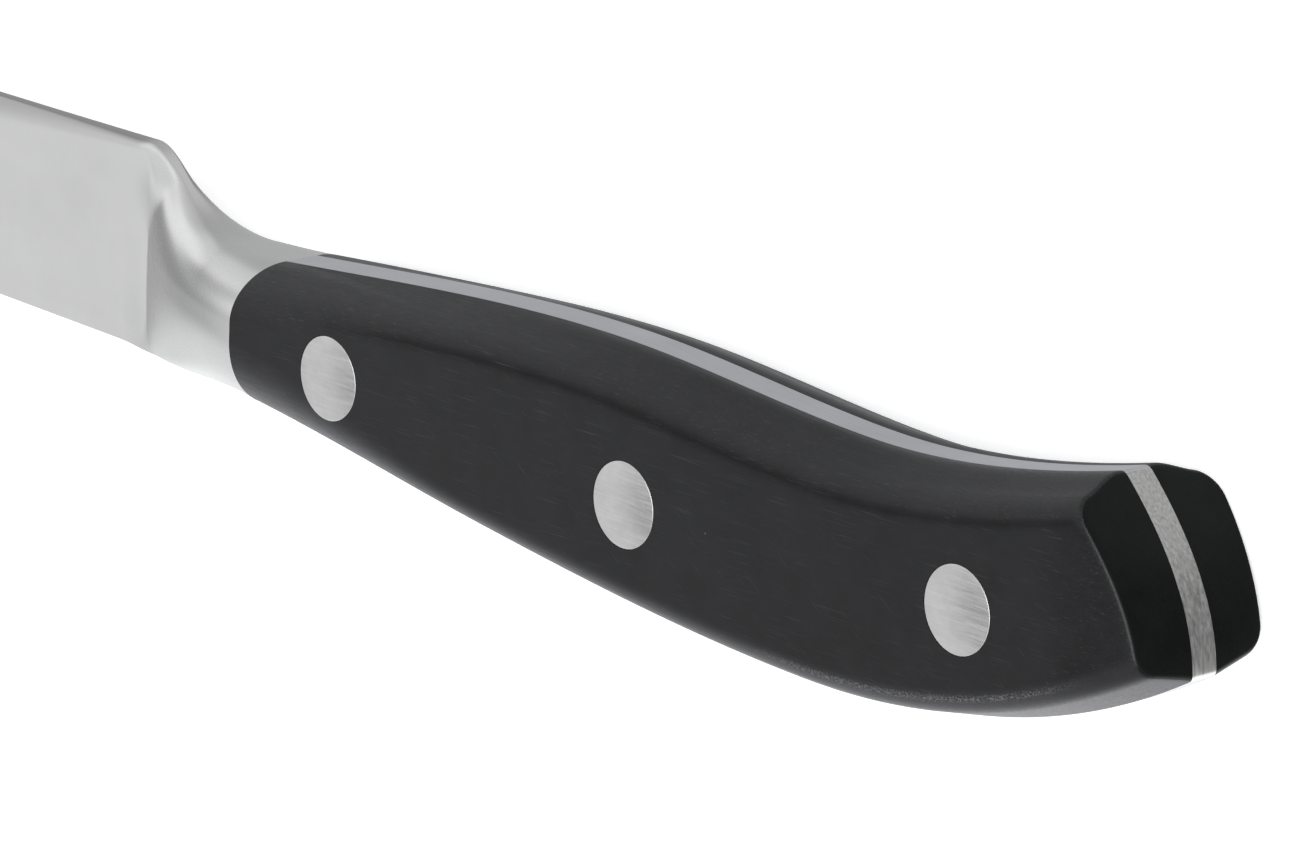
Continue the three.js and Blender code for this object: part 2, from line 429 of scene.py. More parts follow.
    def rounded_section(self, x: float, inner: float) -> np.ndarray:
        """Half of the round cross-section that the handle starts with, at x.

        Args:
            x: Place along the handle.
            inner: Half-thickness where the section starts.

        Returns:
            The points as rows of (x, y, z), from the back round the side to the underside.
        """
        top, bottom, half = self.top_line(x), self.bottom_line(x), self.handle_side(x)
        shoulder, hip = top - self.neck_top_rounding, bottom + self.neck_bottom_rounding
        angle = np.linspace(0.0, math.pi / 2.0, self.arc_steps + 1)
        side = np.linspace(shoulder, hip, 2 * self.side_steps + 1)[1:-1]
        y = np.concatenate([lerp(shoulder, top, np.cos(angle)), side, lerp(hip, bottom, np.sin(angle))])
        z = half * rounding(y, shoulder, top, self.neck_flat_share)
        z = z * rounding(y, hip, bottom, self.neck_keel_share)
        outside = np.column_stack([np.full(len(y), x), y, z])
        back = straight(np.array([x, top, inner]), outside[0], self.flat_steps)
        under = straight(outside[-1], np.array([x, bottom, inner]), self.flat_steps)
        return np.vstack([back[:-1], outside, under[1:]])

    def creased_section(self, x: float, inner: float) -> np.ndarray:
        """Half of the handle's cross-section at x, with a bevel along the back and along the belly.

        Args:
            x: Place along the handle.
            inner: Half-thickness where the section starts.

        Returns:
            The points as rows of (x, y, z), as many as a round section has.
        """
        top, bottom, half = self.top_line(x), self.bottom_line(x), self.handle_side(x)
        drop = (half - inner) * math.tan(math.radians(self.bevel_degrees))
        back, under = np.array([x, top, inner]), np.array([x, bottom, inner])
        crease, chine = np.array([x, top - drop, half]), np.array([x, bottom + drop, half])
        waist = (crease + chine) / 2.0
        shoulder = rounded_corner(back, crease, waist, self.crease_rounding, self.arc_steps)
        hip = rounded_corner(waist, chine, under, self.belly_rounding, self.arc_steps)
        bevel = straight(back, shoulder[0], self.flat_steps)
        share = np.linspace(0.0, 1.0, self.flat_steps + 1)
        crown = self.bevel_crown * smoothstep(x, self.crown_start, self.crown_start + self.crease_start)
        bevel[:, 1] += crown * CROWN_PEAK * share * (1.0 - share) ** 2
        side = straight(shoulder[-1], hip[0], 2 * self.side_steps)
        keel = straight(hip[-1], under, self.flat_steps)
        return np.vstack([bevel[:-1], shoulder, side[1:-1], hip, keel[1:]])

    def scale_section(self, x: float) -> np.ndarray:
        """A scale's outside at x: round at the bolster, then turning into the creased handle.

        Args:
            x: Place along the handle.

        Returns:
            The points as rows of (x, y, z), as many at every x.
        """
        inner = self.tang_half(x) + self.glue_line
        share = smoothstep(x, 0.0, self.crease_start)
        return lerp(self.rounded_section(x, inner), self.creased_section(x, inner), share)


def rounding(y: np.ndarray, start: float, stop: float, left: float) -> np.ndarray:
    """How full a section is at heights y: a quarter of an ellipse that ends with a share left at stop."""
    share = np.clip((y - start) / (stop - start), 0.0, 1.0)
    return left + (1.0 - left) * np.sqrt(1.0 - share**2)


def straight(a: np.ndarray, b: np.ndarray, steps: int) -> np.ndarray:
    """Evenly spread points from a to b, both included."""
    return np.linspace(a, b, steps + 1)


def blend_curve(a: np.ndarray, corner: np.ndarray, b: np.ndarray, steps: int) -> np.ndarray:
    """Points of the curve that leaves a towards corner and reaches b from corner."""
    t = np.linspace(0.0, 1.0, steps + 1)[:, None]
    return (1.0 - t) ** 2 * a + 2.0 * t * (1.0 - t) * corner + t**2 * b


def rounded_corner(
    before: np.ndarray, corner: np.ndarray, after: np.ndarray, radius: float, steps: int
) -> np.ndarray:
    """Points of the arc that rounds a corner, as large as its two edges allow.

    Args:
        before: The point ahead of the corner.
        corner: The corner.
        after: The point past the corner.
        radius: The wanted radius.
        steps: How many chords the arc has.

    Returns:
        The arc's points, from the edge towards before to the edge towards after.
    """
    back, ahead = before - corner, after - corner
    room = CORNER_ROOM * min(np.linalg.norm(back), np.linalg.norm(ahead))
    back, ahead = back / np.linalg.norm(back), ahead / np.linalg.norm(ahead)
    half_angle = math.acos(np.clip(back @ ahead, -1.0, 1.0)) / 2.0
    reach = min(radius / math.tan(half_angle), room)
    middle = (back + ahead) / np.linalg.norm(back + ahead)
    centre = corner + middle * reach / math.cos(half_angle)
    spoke = corner + back * reach - centre
    turn = math.pi - 2.0 * half_angle
    side = -back * np.linalg.norm(spoke)
    angle = np.linspace(0.0, turn, steps + 1)[:, None]
    return centre + spoke * np.cos(angle) + side * np.sin(angle)


# Meshes


@dataclass(frozen=True)
class Placement:
    """Where the drawing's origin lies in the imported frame, in metres."""

    origin: Vector

    @classmethod
    def from_frame(cls, middle_rivet_x: float) -> "Placement":
        """Finds the drawing's origin from the middle rivet and the two grip scales.

        Args:
            middle_rivet_x: The middle rivet's x in the drawing, in millimetres.

        Returns:
            The placement.
        """
        low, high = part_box("rivet_middle_sleeve")
        rivet = (low + high) / 2.0
        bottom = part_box("right_scale")[0].z
        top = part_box("left_scale")[1].z
        return cls(Vector((rivet.x - middle_rivet_x * MM, rivet.y, (bottom + top) / 2.0)))

    def to_frame(self, points: np.ndarray) -> np.ndarray:
        """Drawing millimetres as metres in the frame."""
        return np.asarray(points, float) * MM + np.array(self.origin)

    def to_drawing(self, points: np.ndarray) -> np.ndarray:
        """Metres in the frame as drawing millimetres."""
        return (np.asarray(points, float) - np.array(self.origin)) / MM


def new_piece(name: str, points: np.ndarray, faces: Sequence[Sequence[int]]) -> Object:
    """Makes a closed mesh object, with doubled points merged and its faces pointing out.

    Args:
        name: The object's name.
        points: Rows of (x, y, z) in metres.
        faces: Corner numbers of each face.

    Returns:
        The object, linked to the scene.
    """
    made = bpy.data.meshes.new(name)
    made.from_pydata(np.asarray(points).tolist(), [], [list(face) for face in faces])
    work = bmesh.new()
    work.from_mesh(made)
    bmesh.ops.remove_doubles(work, verts=work.verts, dist=MERGE)
    bmesh.ops.dissolve_degenerate(work, edges=work.edges, dist=MERGE)
    bmesh.ops.recalc_face_normals(work, faces=work.faces)
    work.to_mesh(made)
    work.free()
    piece = bpy.data.objects.new(name, made)
    bpy.context.scene.collection.objects.link(piece)
    return piece


def grid_faces(rows: int, columns: int, closed: bool) -> list[tuple[int, ...]]:
    """Quads of a grid of points that is numbered row by row.

    Args:
        rows: How many rows the grid has.
        columns: How many points each row has.
        closed: Whether each row's last point joins its first.

    Returns:
        The quads' corner numbers.
    """
    last = columns if closed else columns - 1
    return [
        (
            i * columns + j,
            i * columns + (j + 1) % columns,
            (i + 1) * columns + (j + 1) % columns,
            (i + 1) * columns + j,
        )
        for i in range(rows - 1)
        for j in range(last)
    ]


def turned(
    outline: Sequence[tuple[float, float]], x: float, y: float, sides: int
) -> tuple[np.ndarray, list[tuple[int, ...]]]:
    """A turned shape about the line through (x, y) along z.

    Args:
        outline: Points of (radius, z), first and last on the axis.
        x: The axis' place along the knife.
        y: The axis' height.
        sides: How many flats the round has.

    Returns:
        The points in drawing millimetres, and the faces.
    """
    angle = np.linspace(0.0, 2.0 * math.pi, sides, endpoint=False)
    across, upward = np.cos(angle), np.sin(angle)
    rings = [np.column_stack([x + r * across, y + r * upward, np.full(sides, z)]) for r, z in outline]
    return np.vstack(rings), grid_faces(len(outline), sides, closed=True)


def cut(piece: Object, cutter: Object) -> None:
    """Takes a cutter's solids out of a piece, for good.

    Args:
        piece: The piece that is drilled.
        cutter: The shape of the holes.
    """
    modifier = piece.modifiers.new("holes", "BOOLEAN")
    modifier.operation = "DIFFERENCE"
    modifier.solver = "EXACT"
    modifier.object = cutter
    bpy.context.view_layer.update()
    shown = piece.evaluated_get(bpy.context.evaluated_depsgraph_get())
    before = piece.data
    piece.data = bpy.data.meshes.new_from_object(shown)
    piece.modifiers.clear()
    bpy.data.meshes.remove(before)


def shade(piece: Object, crease_degrees: float) -> None:
    """Shades a piece smooth, with a sharp line where faces turn by more than an angle."""
    piece.data.shade_smooth()
    piece.data.set_sharp_from_angle(angle=math.radians(crease_degrees))


def paint(piece: Object, name: str, values: np.ndarray) -> None:
    """Keeps one number from 0 to 1 for each vertex of a piece, for its material to read."""
    layer = piece.data.attributes.new(name, "FLOAT", "POINT")
    layer.data.foreach_set("value", np.asarray(values, np.float32))


def vertices(piece: Object) -> np.ndarray:
    """Reads where a piece's vertices are.

    Args:
        piece: The piece.

    Returns:
        Rows of (x, y, z) in metres.
    """
    flat = np.empty(len(piece.data.vertices) * 3, np.float32)
    piece.data.vertices.foreach_get("co", flat)
    return flat.reshape(-1, 3)


def place(piece: Object, slot: str, *nodes: str) -> None:
    """Makes a piece ride on the knife and stand for its solids, and reports it.

    Args:
        piece: The dressed piece.
        slot: The record's slot for its finish; not used.
        nodes: The solids that it stands for.
    """
    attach(piece, BODY)
    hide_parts(*nodes)
    log.info("%s: %d faces, stands for %s", piece.name, len(piece.data.polygons), ", ".join(nodes))


# Finishes


def linear(colour: str) -> tuple[float, float, float, float]:
    """Turns an sRGB colour into a linear one.

    Args:
        colour: The colour as a hash and six hex digits.

    Returns:
        Linear red, green and blue, and a full alpha.
    """
    shares = [int(colour[i : i + 2], 16) / 255.0 for i in (1, 3, 5)]
    red, green, blue = (s / 12.92 if s <= 0.04045 else ((s + 0.055) / 1.055) ** 2.4 for s in shares)
    return red, green, blue, 1.0


def per_metre(size: float) -> float:
    """The texture scale that gives a pattern a size in millimetres."""
    return 1.0 / (size * MM)


def add_node(tree: NodeTree, kind: str, inputs: dict | None = None, **settings: object) -> Node:
    """Adds a node to a tree.

    Args:
        tree: The node tree.
        kind: The node's type.
        inputs: A value, or an output to link, for each input by name or number.
        settings: Values of the node's own properties.

    Returns:
        The node.
    """
    node = tree.nodes.new(kind)
    for name, value in settings.items():
        setattr(node, name, value)
    for name, value in (inputs or {}).items():
        if isinstance(value, NodeSocket):
            tree.links.new(value, node.inputs[name])
        else:
            node.inputs[name].default_value = value
    return node


def new_material(name: str) -> tuple[Material, NodeTree, Node]:
    """Makes a material with one principled shader.

    Args:
        name: The material's name.

    Returns:
        The material, its node tree and its shader.
    """
    material = bpy.data.materials.new(name)
    material.use_nodes = True
    tree = material.node_tree
    return material, tree, tree.nodes["Principled BSDF"]


def stretched_noise(
    tree: NodeTree, coords: NodeSocket, sizes: Sequence[float], detail: float
) -> NodeSocket:
    """Noise whose blotches have a size in millimetres along each axis.

    Args:
        tree: The node tree.
        coords: Where the noise is read.
        sizes: The blotches' sizes along x, y and z.
        detail: How many finer layers the noise has.

    Returns:
        The noise, about 0.5.
    """
    scaled = add_node(tree, "ShaderNodeMapping", {"Vector": coords, "Scale": [per_metre(s) for s in sizes]})
    return add_node(
        tree,
        "ShaderNodeTexNoise",
        {"Vector": scaled.outputs["Vector"], "Scale": 1.0, "Detail": detail, "Roughness": NOISE_ROUGHNESS},
    ).outputs["Fac"]


@dataclass(frozen=True)
class GroundLines:
    """Fine parallel lines that a belt or a wheel leaves, which blur what the surface mirrors."""

    grain: Grain
    width: float
    length: float
    depth: float
    roughness: float
    roughness_spread: float

    def dress(self, tree: NodeTree, shader: Node, coords: NodeSocket) -> NodeSocket:
        """Cuts the lines into a shader's surface and makes some of them rougher than others.

        Args:
            tree: The material's node tree.
            shader: The material's shader.
            coords: Where the lines are read.

        Returns:
            The lines as a noise, about 0.5.
        """
        lines = stretched_noise(tree, coords, self.grain.sizes(self.width, self.length), detail=3.0)
        rough = add_node(
            tree,
            "ShaderNodeMapRange",
            {
                "Value": lines,
                "From Min": NOISE_LOW,
                "From Max": NOISE_HIGH,
                "To Min": self.roughness - self.roughness_spread,
                "To Max": self.roughness + self.roughness_spread,
            },
        )
        bump = add_node(tree, "ShaderNodeBump", {"Height": lines, "Distance": self.depth * MM})
        tree.links.new(rough.outputs["Result"], shader.inputs["Roughness"])
        tree.links.new(bump.outputs["Normal"], shader.inputs["Normal"])
        return lines


@dataclass(frozen=True)
class GroundSteel:
    """Stainless knife steel after a belt or a wheel: a bright, blurred mirror with a slight mottle."""

    name: str
    light: str
    dark: str
    lines: GroundLines
    line_tone: float
    mottle: float
    # Colour of the painted shade along the spine, if the steel has it
    painted_spine_shade: str = ""

    def material(self) -> Material:
        """Builds the steel's material.

        Returns:
            The material, which reads where shade is painted along the spine if it has a colour for that
            shade.
        """
        material, tree, shader = new_material(self.name)
        coords = add_node(tree, "ShaderNodeTexCoord").outputs["Object"]
        lines = self.lines.dress(tree, shader, coords)
        cloud = stretched_noise(tree, coords, (self.mottle,) * 3, detail=4.0)
        tone = add_node(tree, "ShaderNodeMix", {0: self.line_tone, 2: cloud, 3: lines}).outputs["Result"]
        tone = add_node(
            tree, "ShaderNodeMapRange", {"Value": tone, "From Min": NOISE_LOW, "From Max": NOISE_HIGH}
        ).outputs["Result"]
        colour = add_node(
            tree, "ShaderNodeMix", {0: tone, 6: linear(self.dark), 7: linear(self.light)}, data_type="RGBA"
        ).outputs[2]
        # Painted shade: darkens the steel towards that colour where it is painted
        if self.painted_spine_shade:
            painted_spine_shade = add_node(tree, "ShaderNodeAttribute", attribute_name=PAINTED_SPINE_SHADE).outputs["Fac"]
            colour = add_node(
                tree, "ShaderNodeMix", {0: painted_spine_shade, 6: colour, 7: linear(self.painted_spine_shade)}, data_type="RGBA"
            ).outputs[2]
        tree.links.new(colour, shader.inputs["Base Color"])
        shader.inputs["Metallic"].default_value = 1.0
        return material


@dataclass(frozen=True)
class Scratches:
    """Fine straight scratches that run one way, at an angle from the handle's length towards its back."""

    angle: float
    width: float
    length: float
    rarity: float
    fade: float = 0.1
    show: float = 0.24

    def mask(self, tree: NodeTree, coords: NodeSocket) -> NodeSocket:
        """Draws the scratches.

        Args:
            tree: The material's node tree.
            coords: Where the scratches are read.

        Returns:
            How pale a scratch is at each place, from 0 to show.
        """
        along = add_node(
            tree, "ShaderNodeMapping", {"Vector": coords, "Rotation": (0.0, 0.0, -math.radians(self.angle))}
        ).outputs["Vector"]
        noise = stretched_noise(tree, along, (self.length, self.width, self.width), detail=1.0)
        return add_node(
            tree,
            "ShaderNodeMapRange",
            {
                "Value": noise,
                "From Min": self.rarity,
                "From Max": self.rarity + self.fade,
                "To Max": self.show,
            },
        ).outputs["Result"]


@dataclass(frozen=True)
class BlackAcetal:
    """Black acetal, sanded and buffed: a deep black with a satin sheen, faint lines and a few pale marks."""

    name: str
    light: str
    dark: str
    worn: str
    lines: GroundLines
    specular: float
    scratches: tuple[Scratches, ...]
    mottle: float = 3.0
    speck_spacing: float = 2.4
    speck_size: float = 0.07
    speck_rarity: float = 0.8
    crumb: float = 0.14
    crumb_range: tuple[float, float] = (0.48, 0.62)
    # How much sheen the painted crease shade leaves
    crease_sheen_share: float = 0.45
    index: float = 1.48

    def material(self) -> Material:
        """Builds the plastic's material.

        Returns:
            The material, which reads where the plastic is painted as worn and where shade is painted below
            the crease.
        """
        material, tree, shader = new_material(self.name)
        coords = add_node(tree, "ShaderNodeTexCoord").outputs["Object"]
        self.lines.dress(tree, shader, coords)
        cloud = stretched_noise(tree, coords, (self.mottle,) * 3, detail=5.0)
        tone = add_node(
            tree, "ShaderNodeMapRange", {"Value": cloud, "From Min": NOISE_LOW, "From Max": NOISE_HIGH}
        ).outputs["Result"]
        colour = add_node(
            tree, "ShaderNodeMix", {0: tone, 6: linear(self.dark), 7: linear(self.light)}, data_type="RGBA"
        ).outputs[2]
        pale = self.specks(tree, coords)
        for marks in (self.wear(tree, coords), *(group.mask(tree, coords) for group in self.scratches)):
            palest = add_node(tree, "ShaderNodeMath", {0: pale, 1: marks}, operation="MAXIMUM")
            pale = palest.outputs["Value"]
        colour = add_node(
            tree, "ShaderNodeMix", {0: pale, 6: colour, 7: linear(self.worn)}, data_type="RGBA"
        ).outputs[2]
        # Painted shade: less sheen where shade is painted below the crease
        crease_shade = add_node(tree, "ShaderNodeAttribute", attribute_name=PAINTED_CREASE_SHADE).outputs["Fac"]
        gloss = add_node(
            tree,
            "ShaderNodeMapRange",
            {"Value": crease_shade, "To Min": self.specular, "To Max": self.specular * self.crease_sheen_share},
        ).outputs["Result"]
        tree.links.new(colour, shader.inputs["Base Color"])
        tree.links.new(gloss, shader.inputs["Specular IOR Level"])
        shader.inputs["IOR"].default_value = self.index
        return material

    def specks(self, tree: NodeTree, coords: NodeSocket) -> NodeSocket:
        """Strews a few tiny pale specks of dust and chipped plastic.

        Args:
            tree: The material's node tree.
            coords: Where the specks are read.

        Returns:
            How much of a speck lies at each place, from 0 to 1.
        """
        cells = add_node(
            tree, "ShaderNodeTexVoronoi", {"Vector": coords, "Scale": per_metre(self.speck_spacing)}
        )
        size = self.speck_size / self.speck_spacing
        dot = add_node(
            tree,
            "ShaderNodeMapRange",
            {"Value": cells.outputs["Distance"], "From Min": size, "From Max": size / 2.0},
        ).outputs["Result"]
        lot = add_node(tree, "ShaderNodeSeparateColor", {"Color": cells.outputs["Color"]}).outputs["Red"]
        chosen = add_node(tree, "ShaderNodeMath", {0: lot, 1: self.speck_rarity}, operation="GREATER_THAN")
        return add_node(
            tree, "ShaderNodeMath", {0: dot, 1: chosen.outputs["Value"]}, operation="MULTIPLY"
        ).outputs["Value"]

    def wear(self, tree: NodeTree, coords: NodeSocket) -> NodeSocket:
        """Roughs up the plastic where it is painted as worn.

        Args:
            tree: The material's node tree.
            coords: Where the crumbs are read.

        Returns:
            How much of a pale crumb lies at each place, from 0 to 1.
        """
        worn = add_node(tree, "ShaderNodeAttribute", attribute_name=WORN).outputs["Fac"]
        crumbs = stretched_noise(tree, coords, (self.crumb,) * 3, detail=2.0)
        low, high = self.crumb_range
        shown = add_node(
            tree, "ShaderNodeMapRange", {"Value": crumbs, "From Min": low, "From Max": high}
        ).outputs["Result"]
        return add_node(tree, "ShaderNodeMath", {0: worn, 1: shown}, operation="MULTIPLY").outputs["Value"]


# Ground from spine to edge: a broad, even mirror, greyed along the spine by painted shade.
# On this and the other steels the real lines are finer than a pixel and are drawn several times as wide.
BLADE_STEEL = GroundSteel(
    name="stainless_steel_satin_ground",
    light="#dadad7",
    dark="#d2d2cf",
    painted_spine_shade="#a2a29f",
    lines=GroundLines(
        Grain.ACROSS_BLADE, width=0.16, length=7.0, depth=0.00004, roughness=0.29, roughness_spread=0.015
    ),
    line_tone=0.15,
    mottle=8.0,
)

# Polished on a soft wheel after grinding: a clearer mirror, whose curves show as soft light and dark bands.
BOLSTER_STEEL = GroundSteel(
    name="stainless_steel_satin_polished",
    light="#dadad7",
    dark="#d3d3d0",
    # Colour of the painted shade along the spine, which has all but faded out where the bolster starts
    painted_spine_shade="#8c8c89",
    lines=GroundLines(
        Grain.ACROSS_BLADE, width=0.16, length=4.0, depth=0.00003, roughness=0.27, roughness_spread=0.008
    ),
    line_tone=0.05,
    mottle=8.0,
)

# The tang's edge, belt-sanded flush with the scales: a flat, pale grey strip with streaks along the handle.
TANG_STEEL = GroundSteel(
    name="stainless_steel_belt_sanded",
    light="#d8d9db",
    dark="#c4c4c6",
    lines=GroundLines(
        Grain.ALONG_HANDLE, width=0.14, length=9.0, depth=0.0008, roughness=0.34, roughness_spread=0.06
    ),
    line_tone=0.6,
    mottle=5.0,
)

# The tang's end, sanded from back to belly with a coarser belt: the most uneven grey of the knife, and
# darker than the tang's edge as painted shade.
TANG_END_STEEL = GroundSteel(
    name="stainless_steel_butt_sanded_and_shaded",
    light="#d6d5d2",
    dark="#a09f9c",
    lines=GroundLines(
        Grain.ACROSS_BLADE, width=0.22, length=9.0, depth=0.0012, roughness=0.36, roughness_spread=0.08
    ),
    line_tone=0.85,
    mottle=3.0,
)

# Rivet heads, sanded flush together with the scales: flat, light discs with short fine lines.
RIVET_STEEL = GroundSteel(
    name="stainless_steel_sanded_flush",
    light="#d6d6d3",
    dark="#c0c0bd",
    lines=GroundLines(
        Grain.ALONG_HANDLE, width=0.13, length=3.0, depth=0.0006, roughness=0.36, roughness_spread=0.06
    ),
    line_tone=0.6,
    mottle=1.2,
)

# Sides of the scales, sanded along the handle: black with a soft sheen on every edge and a few pale marks.
# Sanding lines, scratches and crumbs are drawn coarser than they are, so that they show.
SANDED_ACETAL = BlackAcetal(
    name="black_acetal_sanded",
    light="#141415",
    dark="#0c0c0d",
    worn="#626263",
    lines=GroundLines(
        Grain.ALONG_HANDLE, width=0.12, length=9.0, depth=0.0005, roughness=0.36, roughness_spread=0.06
    ),
    specular=0.28,
    scratches=(
        Scratches(angle=2.0, width=0.05, length=5.0, rarity=0.66),
        Scratches(angle=-33.0, width=0.06, length=2.6, rarity=0.72),
    ),
)

# Butt of the scales, with lines across the handle: painted shade makes it a deeper black than the sides,
# with hardly any sheen.
SHADED_BUTT_ACETAL = BlackAcetal(
    name="black_acetal_butt_painted_shade",
    light="#0b0c0b",
    dark="#060706",
    worn="#4c4c4d",
    lines=GroundLines(
        Grain.ACROSS_BLADE, width=0.12, length=9.0, depth=0.0005, roughness=0.3, roughness_spread=0.04
    ),
    specular=0.12,
    scratches=(Scratches(angle=70.0, width=0.05, length=2.0, rarity=0.74),),
)


# Pieces


@dataclass
class Rivet:
    """A cutler's two-part rivet: a sleeve with its head on the left, a post with its head on the right."""

    name: str
    x: float
    y: float
    form: KnifeForm
    head: float = 6.4
    head_thickness: float = 2.2
    sleeve: float = 4.6
    post: float = 3.0
    clearance: float = 0.03
    end_gap: float = 0.3
    edge_break: float = 0.06
    edge_points: int = 4
    sides: int = 96
    sharp_degrees: float = 40.0

    @property
    def seat(self) -> float:
        """The z of the left head's inner face."""
        return self.form.handle_half - self.head_thickness

    def head_outline(self) -> list[tuple[float, float]]:
        """The outer face of a head, with its edge broken.

        Returns:
            Points of (radius, distance from the mid-plane), from the seat to the middle of the face.
        """
        radius, face = self.head / 2.0, self.form.handle_half
        arc = [
            (
                radius - self.edge_break * (1.0 - math.cos(a)),
                face - self.edge_break * (1.0 - math.sin(a)),
            )
            for a in np.linspace(0.0, math.pi / 2.0, self.edge_points)
        ]
        return [(radius, self.seat), *arc, (0.0, face)]

    def hole_outline(self) -> list[tuple[float, float]]:
        """The hole for the rivet: the sleeve's bore with a counterbore for the head on each side.

        Returns:
            Points of (radius, z), from past the right side to past the left side.
        """
        bore = self.sleeve / 2.0 + self.clearance
        counterbore = self.head / 2.0 + self.clearance
        seat = self.seat - self.clearance
        past = self.form.handle_width
        return [
            (0.0, -past),
            (counterbore, -past),
            (counterbore, -seat),
            (bore, -seat),
            (bore, seat),
            (counterbore, seat),
            (counterbore, past),
            (0.0, past),
        ]

    def sleeve_outline(self) -> list[tuple[float, float]]:
        """The female half.

        Returns:
            Points of (radius, z), from inside its bore over its tube to its head.
        """
        bore = self.post / 2.0 + self.clearance
        end = -self.seat + self.end_gap
        return [
            (0.0, self.seat),
            (bore, self.seat),
            (bore, end),
            (self.sleeve / 2.0, end),
            (self.sleeve / 2.0, self.seat),
            *self.head_outline(),
        ]

    def post_outline(self) -> list[tuple[float, float]]:
        """The male half.

        Returns:
            Points of (radius, z), from its head to its end.
        """
        end = self.seat - self.end_gap
        head = [(r, -z) for r, z in self.head_outline()]
        return [*reversed(head), (self.post / 2.0, -self.seat), (self.post / 2.0, end), (0.0, end)]

    def build(self, placement: Placement, steel: Material) -> None:
        """Builds and dresses both halves.

        Args:
            placement: Where the drawing lies in the frame.
            steel: The rivets' finish.
        """
        for half, outline in (("sleeve", self.sleeve_outline()), ("post", self.post_outline())):
            points, faces = turned(outline, self.x, self.y, self.sides)
            piece = new_piece(f"{self.name}_rivet_{half}", placement.to_frame(points), faces)
            shade(piece, self.sharp_degrees)
            piece.data.materials.append(steel)
            place(piece, "rivet_steel", f"rivet_{self.name}_{half}")


